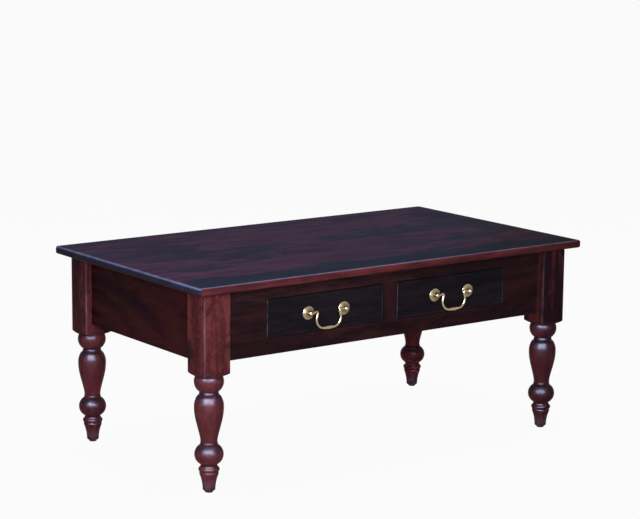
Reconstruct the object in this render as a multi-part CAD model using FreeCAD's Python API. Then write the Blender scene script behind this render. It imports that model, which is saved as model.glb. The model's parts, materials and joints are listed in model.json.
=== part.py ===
import FreeCAD, Part
import math
import os

# Coffee table with two drawers, turned legs and brass bail handles.
# Millimetres, +Z up. The origin is on the floor under the middle of the top.
# +X runs along the length, and the drawers face -Y.

# Top: planks glued edge to edge
TOP_LENGTH = 1067.0
TOP_WIDTH = 610.0
TABLE_HEIGHT = 457.0
TOP_THICKNESS = 18.0
TOP_EDGE_ROUND = 5.0
TOP_CORNER_LAND = 1.0
TOP_OVERHANG_END = 27.0
TOP_OVERHANG_SIDE = 25.0
TOP_BOARD_SHARES = (0.155, 0.175, 0.165, 0.18, 0.16, 0.165)

# Legs: a square block above, turned below
LEG_SQUARE = 67.0
LEG_TURN_ALLOWANCE = 1.4
LEG_ARRIS_ROUND = 4.0
LEG_BLOCK_DROP = 21.0
LEG_SHOULDER_DROP = 6.0
LEG_SHOULDER_SHARES = ((0.52, 1.0), (0.8, 0.6))

# Turned outline from the foot up, as (height, radius) shares of the turned length and radius.
# An arc gives a middle point and an end point, a curve gives the points that it passes.
LEG_FOOT_SHARES = (0.0, 0.345)
LEG_TURNING_SHARES = (
    ("arc", (0.005, 0.400), (0.019, 0.428)),
    ("arc", (0.081, 0.489), (0.137, 0.625)),
    ("arc", (0.150, 0.643), (0.162, 0.615)),
    ("arc", (0.181, 0.708), (0.200, 0.628)),
    ("arc", (0.213, 0.566), (0.226, 0.566)),
    ("arc", (0.309, 0.975), (0.392, 0.569)),
    ("arc", (0.402, 0.597), (0.412, 0.566)),
    ("curve", (0.441, 0.582), (0.479, 0.643), (0.541, 0.772), (0.603, 0.895), (0.657, 0.969),
     (0.708, 0.995), (0.754, 0.957), (0.785, 0.862), (0.796, 0.816), (0.805, 0.748),
     (0.810, 0.660)),
    ("arc", (0.822, 0.665), (0.838, 0.617)),
    ("arc", (0.921, 0.998), (1.0, 0.732)),
)

# Glides: a nailed cap under each foot
GLIDE_HEIGHT = 4.0
GLIDE_RADIUS = 9.0
GLIDE_NAIL_RADIUS = 1.5
GLIDE_NAIL_LENGTH = 14.0
GLIDE_FLAT_SHARE = 0.83
GLIDE_EDGE_SHARES = ((0.955, 0.2), (1.0, 0.5))

# Aprons and the front frame round the drawers
APRON_THICKNESS = 20.0
SIDE_APRON_RECESS = 15.0
LONG_APRON_RECESS = 20.0
APRON_EDGE_ROUND = 1.5
TENON_THICKNESS = 9.0
TENON_LENGTH = 24.0
TENON_SHOULDER = 14.0
RAIL_TENON_SHOULDER = 4.0
MORTISE_SLACK = 1.0
FRONT_TOP_RAIL_HEIGHT = 33.0
DRAWER_OPENING_HEIGHT = 86.0
FRONT_BOTTOM_RAIL_HEIGHT = 36.5
CENTRE_STILE_WIDTH = 38.0
END_STILE_WIDTH = 105.5
STILE_TENON_LENGTH = 8.0
STILE_TENON_SHOULDER = 5.0

# Runners under the drawers, guides beside them, kickers above them, stops behind their fronts
RUNNER_HEIGHT = 20.0
RUNNER_BEARING = 18.0
RUNNER_TENON_SHOULDER = 4.0
RUNNER_TENON_SHARE = 0.75
RUNNER_MORTISE_SHARE = 0.9
GUIDE_WIDTH = 14.0
GUIDE_HEIGHT = 22.0
KICKER_HEIGHT = 18.0
STOP_WIDTH = 30.0
STOP_THICKNESS = 14.0
STOP_HEIGHT = 30.0
STOP_RISE = 6.0
STOP_PLACE_SHARE = 0.3

# Corner blocks between aprons and legs
CORNER_BLOCK_HEIGHT = 50.0
CORNER_BLOCK_SHARE = 0.55
CORNER_SCREW_SHARE = 0.4
CORNER_SCREW_GRIP = 14.0
CORNER_SCREW_BITE = 12.0

# Buttons that hold the top: the tongue goes into a slot in the apron
BUTTON_WIDTH = 32.0
BUTTON_DEPTH = 28.0
BUTTON_HEIGHT = 16.0
BUTTON_TONGUE_LENGTH = 8.0
BUTTON_TONGUE_THICKNESS = 6.0
BUTTON_TONGUE_DROP = 8.0
BUTTON_SLOT_SLACK = 0.5
BUTTON_EDGE_ROUND = 1.5
BUTTON_SIDE_SHARE = 0.5
BUTTON_SCREW_SHARE = 0.55
BUTTON_SCREW_BITE = 12.0

# Wood screws
SCREW_RADIUS = 2.0
SCREW_HEAD_RADIUS = 4.0
SCREW_HEAD_HEIGHT = 2.5
SCREW_SLOT_WIDTH = 0.9
SCREW_SLOT_SHARE = 0.45
SCREW_POINT_SHARE = 2.0
SCREW_DOME_SHARES = (0.75, 0.55)
HOLE_CLEARANCE = 0.1

# Drawers: half-blind dovetails at the front, the bottom in grooves, the back housed in the sides
DRAWER_GAP = 1.0
DRAWER_RUNNING_GAP = 0.2
DRAWER_SETBACK = 1.0
DRAWER_BACK_SPACE = 69.0
DRAWER_EDGE_ROUND = 1.5
DRAWER_SIDE_THICKNESS = 12.0
DRAWER_SIDE_TOP_GAP = 3.0
DRAWER_BACK_THICKNESS = 12.0
DRAWER_BACK_INSET = 10.0
DRAWER_BACK_TOP_DROP = 3.0
DRAWER_BACK_HOUSING = 4.0
DRAWER_BOTTOM_THICKNESS = 6.0
DRAWER_BOTTOM_RAISE = 10.0
DRAWER_GROOVE_DEPTH = 6.0
DRAWER_SCREW_BITE = 16.0
DRAWER_SCREW_SHARES = (-0.7, 0.0, 0.7)
DOVETAIL_COUNT = 3
DOVETAIL_LENGTH = 12.0
DOVETAIL_WIDTH_SHARE = 0.5
DOVETAIL_SLOPE_SHARE = 1 / 7

# Handles: rosettes and posts on the drawer fronts, and a bail that swings between the posts
HANDLE_CENTRES = 96.0
HINGE_STANDOFF = 10.0
ROSETTE_RADIUS = 15.0
ROSETTE_HEIGHT = 4.0
ROSETTE_RIM_SHARES = ((1.0, 0.3), (0.94, 0.72), (0.84, 0.5))
ROSETTE_DISH_SHARES = ((0.66, 0.22), (0.5, 0.5))
ROSETTE_BOSS_SHARES = ((0.44, 0.86), (0.32, 1.0))
POST_SHANK_RADIUS = 2.0
POST_STEM_RADIUS = 3.2
POST_BALL_RADIUS = 5.0
POST_SHANK_END = 2.0
NUT_FLATS = 8.0
NUT_HEIGHT = 3.8
NUT_FLANGE_RADIUS = 5.5
NUT_FLANGE_HEIGHT = 1.2
NUT_SIDES = 6
BAIL_DROP = 35.7
BAIL_WIRE_RADIUS = 2.6
BAIL_PIN_RADIUS = 2.2
BAIL_PIN_CLEARANCE = 0.08
BAIL_PIN_END_GAP = 0.5
BAIL_END_GAP = 0.2
BAIL_NECK_LENGTH = 3.2
BAIL_CREST_SHARES = (0.5625, 0.193)
BAIL_CORNER_SHARE = 0.821
BAIL_TANGENT_SHARES = (0.44, 0.68, 0.42)
BAIL_GRIP_LENGTH = 36.0
BAIL_GRIP_RADIUS = 4.3
BAIL_GRIP_STEP = 0.5

# Shared by all pieces
OVERRUN = 5.0
TOLERANCE = 0.001
ROUND_LIMIT_SHARE = 0.45
FULL_TURN = 360.0
ORIGIN = FreeCAD.Vector(0, 0, 0)
X_AXIS = FreeCAD.Vector(1, 0, 0)
Y_AXIS = FreeCAD.Vector(0, 1, 0)
Z_AXIS = FreeCAD.Vector(0, 0, 1)
LEFT_RIGHT = (("left", -1), ("right", 1))
FRONT_BACK = (("front", -1), ("back", 1))

# Heights that follow from the sizes above
apron_top = TABLE_HEIGHT - TOP_THICKNESS
opening_top = apron_top - FRONT_TOP_RAIL_HEIGHT
opening_bottom = opening_top - DRAWER_OPENING_HEIGHT
apron_bottom = opening_bottom - FRONT_BOTTOM_RAIL_HEIGHT
block_bottom = apron_bottom - LEG_BLOCK_DROP

# Plan: distances from the middle of the table
leg_outer_x = TOP_LENGTH / 2 - TOP_OVERHANG_END
leg_inner_x = leg_outer_x - LEG_SQUARE
leg_middle_x = leg_outer_x - LEG_SQUARE / 2
leg_outer_y = TOP_WIDTH / 2 - TOP_OVERHANG_SIDE
leg_inner_y = leg_outer_y - LEG_SQUARE
leg_middle_y = leg_outer_y - LEG_SQUARE / 2
side_outer_x = leg_outer_x - SIDE_APRON_RECESS
side_inner_x = side_outer_x - APRON_THICKNESS
side_middle_x = side_outer_x - APRON_THICKNESS / 2
long_outer_y = leg_outer_y - LONG_APRON_RECESS
long_inner_y = long_outer_y - APRON_THICKNESS
long_middle_y = long_outer_y - APRON_THICKNESS / 2
opening_inner_x = CENTRE_STILE_WIDTH / 2
opening_outer_x = leg_inner_x - END_STILE_WIDTH
drawer_middle_x = (opening_inner_x + opening_outer_x) / 2

# Drawers and handles
drawer_half_width = (opening_outer_x - opening_inner_x) / 2 - DRAWER_GAP
drawer_inner_half = drawer_half_width - DRAWER_SIDE_THICKNESS
drawer_face_y = -long_outer_y + DRAWER_SETBACK
drawer_front_back_y = -long_inner_y
drawer_end_y = long_inner_y - DRAWER_BACK_SPACE
drawer_back_y = drawer_end_y - DRAWER_BACK_INSET
drawer_side_bottom = opening_bottom + DRAWER_RUNNING_GAP
drawer_side_top = opening_top - DRAWER_SIDE_TOP_GAP
panel_bottom = drawer_side_bottom + DRAWER_BOTTOM_RAISE
panel_top = panel_bottom + DRAWER_BOTTOM_THICKNESS
handle_z = (opening_bottom + opening_top) / 2
hinge_y = drawer_face_y - HINGE_STANDOFF
handle_half = HANDLE_CENTRES / 2


# Shape helpers

def block(x_ends, y_ends, z_ends):
    """A box between two values on each axis, given in either order."""
    spans = (x_ends, y_ends, z_ends)
    low = [min(ends) for ends in spans]
    size = [max(ends) - min(ends) for ends in spans]
    return Part.makeBox(*size, FreeCAD.Vector(*low))


def about(middle, half):
    """The two values at a distance on either side of a middle value."""
    return (middle - half, middle + half)


def rounded_edges(shape, radius, keep):
    """Round the straight edges, if any, whose middle point and direction keep() accepts."""
    chosen = []
    for edge in shape.Edges:
        span = edge.Vertexes[-1].Point.sub(edge.Vertexes[0].Point)
        if keep(edge.CenterOfMass, span.normalize()):
            chosen.append(edge)
    return shape.makeFillet(radius, chosen) if chosen else shape


def near(value, target):
    """True where two lengths agree within the tolerance."""
    return abs(value - target) < TOLERANCE


def along(direction, axis):
    """True where a unit direction lies on an axis, either way."""
    return direction.cross(axis).Length < TOLERANCE


def outline(start, steps):
    """A closed face in the XZ plane from (x, z) points, by lines, arcs and smooth curves."""
    def at(point):
        return FreeCAD.Vector(point[0], 0, point[1])

    edges = []
    here = start
    for kind, *points in steps:
        if kind == "line":
            edges.append(Part.makeLine(at(here), at(points[-1])))
        elif kind == "arc":
            edges.append(Part.Arc(at(here), *[at(point) for point in points]).toShape())
        else:
            curve = Part.BSplineCurve()
            curve.interpolate([at(point) for point in (here, *points)])
            edges.append(curve.toShape())
        here = points[-1]
    edges.append(Part.makeLine(at(here), at(start)))
    return Part.Face(Part.Wire(edges))


def turned(start, steps):
    """A solid of revolution about Z from an outline of (radius, height) points."""
    return outline(start, steps).revolve(ORIGIN, Z_AXIS, FULL_TURN)


def aimed(shape, place, direction):
    """A shape made along +Z at the origin, set at a place and pointed in a direction."""
    shape = shape.copy()
    shape.Placement = FreeCAD.Placement(place, FreeCAD.Rotation(Z_AXIS, direction))
    return shape


def rod(radius, start, end):
    """A round rod between two points."""
    span = end.sub(start)
    return Part.makeCylinder(radius, span.Length, start, span)


def cut_all(shape, tools):
    """A shape with every tool cut away."""
    for tool in tools:
        shape = shape.cut(tool)
    return shape


def rounded_path(points, tangent_shares):
    """A wire in the XZ plane: straight runs, and at each inner point a tangent arc.

    The arc leaves and joins its runs at a share of the shorter run from the point.
    """
    corners = [FreeCAD.Vector(x, 0, z) for x, z in points]
    edges = []
    here = corners[0]
    for before, corner, after, share in zip(corners, corners[1:], corners[2:], tangent_shares):
        back = before.sub(corner)
        ahead = after.sub(corner)
        reach = share * min(back.Length, ahead.Length)
        back.normalize()
        ahead.normalize()
        half_angle = back.getAngle(ahead) / 2
        middle = back.add(ahead).normalize()
        to_arc = reach / math.cos(half_angle) - reach * math.tan(half_angle)
        arc_start = corner.add(back.multiply(reach))
        arc_end = corner.add(ahead.multiply(reach))
        edges.append(Part.makeLine(here, arc_start))
        edges.append(Part.Arc(arc_start, corner.add(middle.multiply(to_arc)), arc_end).toShape())
        here = arc_end
    edges.append(Part.makeLine(here, corners[-1]))
    return Part.Wire(edges)


def screw(length):
    """A round-head wood screw along +Z: its head below the origin, its shank above."""
    point = SCREW_POINT_SHARE * SCREW_RADIUS
    dome_x, dome_z = SCREW_DOME_SHARES
    body = turned((0, -SCREW_HEAD_HEIGHT), (
        ("arc", (dome_x * SCREW_HEAD_RADIUS, -dome_z * SCREW_HEAD_HEIGHT), (SCREW_HEAD_RADIUS, 0)),
        ("line", (SCREW_RADIUS, 0)),
        ("line", (SCREW_RADIUS, length - point)),
        ("line", (0, length)),
    ))
    slot_depth = SCREW_SLOT_SHARE * SCREW_HEAD_HEIGHT
    slot = block(about(0, SCREW_HEAD_RADIUS + OVERRUN), about(0, SCREW_SLOT_WIDTH / 2),
                 (-SCREW_HEAD_HEIGHT - OVERRUN, -SCREW_HEAD_HEIGHT + slot_depth))
    return body.cut(slot)


def screw_way(place, direction, grip):
    """The clearance hole of a screw through the piece that it grips."""
    return rod(SCREW_RADIUS + HOLE_CLEARANCE, place, place.add(FreeCAD.Vector(direction).multiply(grip)))


# Top boards

def top_boards(screws):
    """The rounded top, sawn into its boards from the front edge to the back edge."""
    edge_round = min(TOP_EDGE_ROUND, ROUND_LIMIT_SHARE * TOP_THICKNESS)
    slab = block(about(0, TOP_LENGTH / 2), about(0, TOP_WIDTH / 2), (apron_top, TABLE_HEIGHT))
    slab = rounded_edges(slab, edge_round + TOP_CORNER_LAND, lambda middle, way: along(way, Z_AXIS))
    rim = [edge for edge in slab.Edges if not near(edge.BoundBox.ZLength, TOP_THICKNESS)]
    slab = slab.makeFillet(edge_round, rim)
    slab = cut_all(slab, screws)
    boards = {}
    front = -TOP_WIDTH / 2
    for number, share in enumerate(TOP_BOARD_SHARES, 1):
        back = front + share * TOP_WIDTH
        strip = block(about(0, TOP_LENGTH / 2 + OVERRUN), (front, back),
                      (apron_top - OVERRUN, TABLE_HEIGHT + OVERRUN))
        boards[f"top_board_{number}"] = slab.common(strip)
        front = back
    return boards


# Legs and glides

def leg_turning():
    """The turned part of a leg, its foot on the glide and its top against the square block."""
    length = block_bottom - GLIDE_HEIGHT
    radius = LEG_SQUARE / 2 - LEG_TURN_ALLOWANCE

    def at(point):
        return (point[1] * radius, GLIDE_HEIGHT + point[0] * length)

    steps = [("line", at(LEG_FOOT_SHARES))]
    for kind, *points in LEG_TURNING_SHARES:
        steps.append((kind, *[at(point) for point in points]))
    steps.append(("line", (0, block_bottom)))
    return turned((0, GLIDE_HEIGHT), steps)


def glide():
    """A glide with its nail, standing on the floor at the origin."""
    edge = [(x * GLIDE_RADIUS, z * GLIDE_HEIGHT) for x, z in GLIDE_EDGE_SHARES]
    nail_top = GLIDE_HEIGHT + GLIDE_NAIL_LENGTH
    return turned((0, 0), (
        ("line", (GLIDE_FLAT_SHARE * GLIDE_RADIUS, 0)),
        ("arc", *edge),
        ("line", (GLIDE_RADIUS, GLIDE_HEIGHT)),
        ("line", (GLIDE_NAIL_RADIUS, GLIDE_HEIGHT)),
        ("line", (GLIDE_NAIL_RADIUS, nail_top - GLIDE_NAIL_RADIUS)),
        ("line", (0, nail_top)),
    ))


def leg_shoulder():
    """What the lathe leaves of the square block: it domes the lower end and misses the rest."""
    corner = LEG_SQUARE / math.sqrt(2)
    end, middle = [(x * corner, block_bottom - z * LEG_SHOULDER_DROP) for x, z in LEG_SHOULDER_SHARES]
    above = apron_top + OVERRUN
    return turned((0, end[1]), (
        ("line", end),
        ("arc", middle, (corner, block_bottom)),
        ("line", (corner, above)),
        ("line", (0, above)),
    ))


def leg(sx, sy, mortises):
    """A leg at one corner: the block with eased arrises, the turning, and the cuts for tenons."""
    place = FreeCAD.Vector(sx * leg_middle_x, sy * leg_middle_y, 0)
    square = block((sx * leg_inner_x, sx * leg_outer_x), (sy * leg_inner_y, sy * leg_outer_y),
                   (block_bottom - LEG_SHOULDER_DROP - OVERRUN, apron_top))
    square = rounded_edges(square, LEG_ARRIS_ROUND, lambda middle, way: along(way, Z_AXIS))
    square = square.common(aimed(leg_shoulder(), place, Z_AXIS))
    whole = square.fuse(aimed(leg_turning(), place, Z_AXIS))
    return cut_all(whole, [*mortises, aimed(glide(), place, Z_AXIS)])


# Aprons, rails and stiles

def long_board(sy, z_ends):
    """A board along X between two legs. One that ends the apron below has its lower edges eased."""
    board = block(about(0, leg_inner_x), (sy * long_inner_y, sy * long_outer_y), z_ends)
    return rounded_edges(board, APRON_EDGE_ROUND, lambda middle, way: along(way, X_AXIS)
                         and near(middle.z, apron_bottom))


def long_tenons(sy, z_ends, shoulder, slack):
    """The tenons at both ends of a board along X, as one bar."""
    low, high = z_ends
    return block(about(0, leg_inner_x + TENON_LENGTH + slack),
                 about(sy * long_middle_y, TENON_THICKNESS / 2), (low + shoulder, high - shoulder))


def side_board(sx):
    """A short apron along Y between two legs, with its lower edges eased."""
    board = block((sx * side_inner_x, sx * side_outer_x), about(0, leg_inner_y), (apron_bottom, apron_top))
    return rounded_edges(board, APRON_EDGE_ROUND, lambda middle, way: along(way, Y_AXIS)
                         and near(middle.z, apron_bottom))


def side_tenons(sx, slack):
    """The tenons at both ends of a short apron, as one bar."""
    return block(about(sx * side_middle_x, TENON_THICKNESS / 2),
                 about(0, leg_inner_y + TENON_LENGTH + slack),
                 (apron_bottom + TENON_SHOULDER, apron_top - TENON_SHOULDER))


def stile_tenons(x_ends, slack):
    """The tenons at the top and bottom of a front stile, as one bar."""
    low, high = sorted(x_ends)
    return block((low + STILE_TENON_SHOULDER, high - STILE_TENON_SHOULDER),
                 about(-long_middle_y, TENON_THICKNESS / 2),
                 (opening_bottom - STILE_TENON_LENGTH - slack, opening_top + STILE_TENON_LENGTH + slack))


def front_stiles():
    """Each stile's two X values, by place."""
    return {
        "left": (-leg_inner_x, -opening_outer_x),
        "centre": about(0, opening_inner_x),
        "right": (opening_outer_x, leg_inner_x),
    }


# Drawer runners, guides, kickers and stops

def bearer_spans():
    """Each runner's two X values, by place. A kicker has the same."""
    inner = opening_outer_x - RUNNER_BEARING
    outer = opening_outer_x + GUIDE_WIDTH
    return {
        "left": (-outer, -inner),
        "centre": about(0, opening_inner_x + RUNNER_BEARING),
        "right": (inner, outer),
    }


def guide_spans():
    """Each guide's two X values, by place."""
    return {
        "left": (-opening_outer_x - GUIDE_WIDTH, -opening_outer_x),
        "centre": about(0, opening_inner_x),
        "right": (opening_outer_x, opening_outer_x + GUIDE_WIDTH),
    }


def bearer_tenons(x_ends, z_ends, share):
    """The stub tenons at both ends of a runner or kicker, as one bar."""
    stub = share * (APRON_THICKNESS - TENON_THICKNESS) / 2
    low_x, high_x = x_ends
    low_z, high_z = z_ends
    return block((low_x + RUNNER_TENON_SHOULDER, high_x - RUNNER_TENON_SHOULDER),
                 about(0, long_inner_y + stub),
                 (low_z + RUNNER_TENON_SHOULDER, high_z - RUNNER_TENON_SHOULDER))


def bearer(x_ends, z_ends):
    """A runner or kicker from the front rail to the back apron."""
    bar = block(x_ends, about(0, long_inner_y), z_ends)
    return bar.fuse(bearer_tenons(x_ends, z_ends, RUNNER_TENON_SHARE))


def drawer_stops():
    """Two blocks behind the bottom rail for each drawer front to close against."""
    stops = []
    for name, sx in LEFT_RIGHT:
        for side in (-1, 1):
            middle = sx * drawer_middle_x + side * STOP_PLACE_SHARE * 2 * drawer_inner_half
            stops.append(block(about(middle, STOP_WIDTH / 2),
                               (-long_inner_y, -long_inner_y + STOP_THICKNESS),
                               (opening_bottom + STOP_RISE - STOP_HEIGHT, opening_bottom + STOP_RISE)))
    return stops


# Corner blocks

def corner_block(sx, sy):
    """A brace in one corner, notched round the leg, with its two screws.

    The block is drawn in u and v, the distances inwards from the short and the long apron.
    """
    leg_u = side_inner_x - leg_inner_x
    leg_v = long_inner_y - leg_inner_y
    reach = CORNER_BLOCK_SHARE * END_STILE_WIDTH
    middle_z = (opening_bottom + GUIDE_HEIGHT + opening_top) / 2
    bottom_z = middle_z - CORNER_BLOCK_HEIGHT / 2

    def at(u, v, z):
        return FreeCAD.Vector(sx * (side_inner_x - u), sy * (long_inner_y - v), z)

    plan = ((leg_u, 0), (leg_u + reach, 0), (0, leg_v + reach), (0, leg_v), (leg_u, leg_v), (leg_u, 0))
    face = Part.Face(Part.makePolygon([at(u, v, bottom_z) for u, v in plan]))
    brace = face.extrude(FreeCAD.Vector(0, 0, CORNER_BLOCK_HEIGHT))
    screw_u = leg_u + CORNER_SCREW_SHARE * reach
    screw_v = leg_v + CORNER_SCREW_SHARE * reach
    ways = (
        (at(CORNER_SCREW_GRIP, screw_v, middle_z), FreeCAD.Vector(sx, 0, 0)),
        (at(screw_u, CORNER_SCREW_GRIP, middle_z), FreeCAD.Vector(0, sy, 0)),
    )
    screws = []
    for head, direction in ways:
        outwards = FreeCAD.Vector(direction).multiply(-reach)
        brace = brace.cut(rod(SCREW_HEAD_RADIUS + HOLE_CLEARANCE, head, head.add(outwards)))
        brace = brace.cut(screw_way(head, direction, CORNER_SCREW_GRIP))
        screws.append(aimed(screw(CORNER_SCREW_GRIP + CORNER_SCREW_BITE), head, direction))
    return brace, screws


# Buttons under the top

def button_places():
    """Where each button meets an apron: the point on the apron's inner face, and the way outwards."""
    places = []
    for x_name, sx in LEFT_RIGHT:
        for y_name, sy in FRONT_BACK:
            side = FreeCAD.Vector(sx * side_inner_x, sy * BUTTON_SIDE_SHARE * leg_inner_y, apron_top)
            places.append((side, FreeCAD.Vector(sx, 0, 0)))
            long = FreeCAD.Vector(sx * drawer_middle_x, sy * long_inner_y, apron_top)
            places.append((long, FreeCAD.Vector(0, sy, 0)))
    return places


def turned_to(shape, place, outwards):
    """A shape drawn with +X outwards from the origin, turned about Z and set at a place."""
    shape = shape.copy()
    shape.Placement = FreeCAD.Placement(place, FreeCAD.Rotation(X_AXIS, outwards))
    return shape


def button_tongue(slack):
    """A button's tongue, outwards from the apron's inner face, or its slot with the slack."""
    top = -BUTTON_TONGUE_DROP
    return block((0, BUTTON_TONGUE_LENGTH + slack), about(0, BUTTON_WIDTH / 2 + slack),
                 (top - BUTTON_TONGUE_THICKNESS, top))


def button():
    """A button with its tongue, drawn from the apron's inner face at the apron's top."""
    body = block((-BUTTON_DEPTH, 0), about(0, BUTTON_WIDTH / 2), (-BUTTON_HEIGHT, 0))
    body = rounded_edges(body, BUTTON_EDGE_ROUND, lambda middle, way: along(way, Z_AXIS)
                         and near(middle.x, -BUTTON_DEPTH))
    head = FreeCAD.Vector(-BUTTON_SCREW_SHARE * BUTTON_DEPTH, 0, -BUTTON_HEIGHT)
    return body.fuse(button_tongue(0)).cut(screw_way(head, Z_AXIS, BUTTON_HEIGHT))


def button_screw(place, outwards):
    """The screw up through a button into the top."""
    inwards = FreeCAD.Vector(outwards).multiply(-BUTTON_SCREW_SHARE * BUTTON_DEPTH)
    head = place.add(inwards).sub(FreeCAD.Vector(0, 0, BUTTON_HEIGHT))
    return aimed(screw(BUTTON_HEIGHT + BUTTON_SCREW_BITE), head, Z_AXIS)


# Drawers

def dovetails(x_ends):
    """The tails at the front end of a drawer side, wider at their tips."""
    pitch = (drawer_side_top - drawer_side_bottom) / DOVETAIL_COUNT
    root = DOVETAIL_WIDTH_SHARE * pitch / 2
    tip = root + DOVETAIL_SLOPE_SHARE * DOVETAIL_LENGTH
    root_y = drawer_front_back_y
    tip_y = drawer_front_back_y - DOVETAIL_LENGTH
    low_x, high_x = x_ends
    tails = []
    for number in range(DOVETAIL_COUNT):
        middle = drawer_side_bottom + (number + 1 / 2) * pitch
        corners = ((root_y, middle - root), (tip_y, middle - tip), (tip_y, middle + tip),
                   (root_y, middle + root), (root_y, middle - root))
        face = Part.Face(Part.makePolygon([FreeCAD.Vector(low_x, y, z) for y, z in corners]))
        tails.append(face.extrude(FreeCAD.Vector(high_x - low_x, 0, 0)))
    return tails


def drawer_box(middle_x):
    """The front, sides, back, bottom and bottom screws of one drawer."""
    inner = about(middle_x, drawer_inner_half)
    outer = about(middle_x, drawer_half_width)
    side_spans = ((outer[0], inner[0]), (inner[1], outer[1]))

    bottom = block(about(middle_x, drawer_inner_half + DRAWER_GROOVE_DEPTH),
                   (drawer_front_back_y, drawer_back_y), (panel_bottom, panel_top))
    tongue = block(inner, (drawer_front_back_y - DRAWER_GROOVE_DEPTH, drawer_front_back_y),
                   (panel_bottom, panel_top))
    bottom = bottom.fuse(tongue).removeSplitter()

    back_ends = (drawer_back_y - DRAWER_BACK_THICKNESS, drawer_back_y)
    back_span = about(middle_x, drawer_inner_half + DRAWER_BACK_HOUSING)
    back = block(back_span, back_ends, (panel_top, drawer_side_top - DRAWER_BACK_TOP_DROP))
    housing = block(back_span, back_ends, (panel_top, drawer_side_top + OVERRUN))

    front = block(outer, (drawer_face_y, drawer_front_back_y),
                  (opening_bottom + DRAWER_GAP, opening_top - DRAWER_GAP))
    front = rounded_edges(front, DRAWER_EDGE_ROUND, lambda middle, way: near(middle.y, drawer_face_y))
    front = front.cut(tongue)

    sides = []
    for span in side_spans:
        side = block(span, (drawer_front_back_y, drawer_end_y), (drawer_side_bottom, drawer_side_top))
        side = side.cut(block(about(middle_x, drawer_inner_half + DRAWER_GROOVE_DEPTH),
                              (drawer_front_back_y, drawer_end_y + OVERRUN), (panel_bottom, panel_top)))
        side = side.cut(housing)
        tails = dovetails(span)
        front = cut_all(front, tails)
        sides.append(side.multiFuse(tails).removeSplitter())

    screws = []
    for share in DRAWER_SCREW_SHARES:
        head = FreeCAD.Vector(middle_x + share * drawer_inner_half,
                              drawer_back_y - DRAWER_BACK_THICKNESS / 2, panel_bottom)
        fixing = aimed(screw(DRAWER_BOTTOM_THICKNESS + DRAWER_SCREW_BITE), head, Z_AXIS)
        bottom = bottom.cut(screw_way(head, Z_AXIS, DRAWER_BOTTOM_THICKNESS))
        back = back.cut(fixing)
        screws.append(fixing)
    return front, sides, back, bottom, screws


# Handles

def rosette():
    """A turned plate along +Z: a beaded rim, a dish and a raised boss with a hole."""
    def at(shares):
        return [(x * ROSETTE_RADIUS, z * ROSETTE_HEIGHT) for x, z in shares]

    hole = POST_SHANK_RADIUS + HOLE_CLEARANCE
    rim_start, *rim = at(ROSETTE_RIM_SHARES)
    return turned((hole, 0), (
        ("line", (ROSETTE_RADIUS, 0)),
        ("line", rim_start),
        ("arc", *rim),
        ("arc", *at(ROSETTE_DISH_SHARES)),
        ("arc", *at(ROSETTE_BOSS_SHARES)),
        ("line", (hole, ROSETTE_HEIGHT)),
    ))


def post(inwards):
    """A handle post along +Z from the drawer face, its ball bored for the bail's pin."""
    front_thickness = drawer_front_back_y - drawer_face_y
    tail = front_thickness + NUT_FLANGE_HEIGHT + NUT_HEIGHT + POST_SHANK_END
    ball_root = HINGE_STANDOFF - math.sqrt(POST_BALL_RADIUS ** 2 - POST_STEM_RADIUS ** 2)
    body = turned((0, -tail), (
        ("line", (POST_SHANK_RADIUS, -tail)),
        ("line", (POST_SHANK_RADIUS, ROSETTE_HEIGHT)),
        ("line", (POST_STEM_RADIUS, ROSETTE_HEIGHT)),
        ("line", (POST_STEM_RADIUS, ball_root)),
        ("arc", (POST_BALL_RADIUS, HINGE_STANDOFF), (0, HINGE_STANDOFF + POST_BALL_RADIUS)),
    ))
    bore_end = FreeCAD.Vector(-inwards * BAIL_PIN_END_GAP, 0, HINGE_STANDOFF)
    bore_mouth = FreeCAD.Vector(inwards * (POST_BALL_RADIUS + OVERRUN), 0, HINGE_STANDOFF)
    return body.cut(rod(BAIL_PIN_RADIUS + BAIL_PIN_CLEARANCE, bore_end, bore_mouth))


def nut():
    """A hexagon nut along +Z on its flange."""
    corner = NUT_FLATS / 2 / math.cos(math.pi / NUT_SIDES)
    ring = []
    for step in range(NUT_SIDES + 1):
        turn = 2 * math.pi * step / NUT_SIDES
        ring.append(FreeCAD.Vector(corner * math.cos(turn), corner * math.sin(turn), NUT_FLANGE_HEIGHT))
    hexagon = Part.Face(Part.makePolygon(ring)).extrude(FreeCAD.Vector(0, 0, NUT_HEIGHT))
    flange = Part.makeCylinder(NUT_FLANGE_RADIUS, NUT_FLANGE_HEIGHT)
    bore = Part.makeCylinder(POST_SHANK_RADIUS, NUT_FLANGE_HEIGHT + NUT_HEIGHT)
    return hexagon.fuse(flange).cut(bore)


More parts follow.
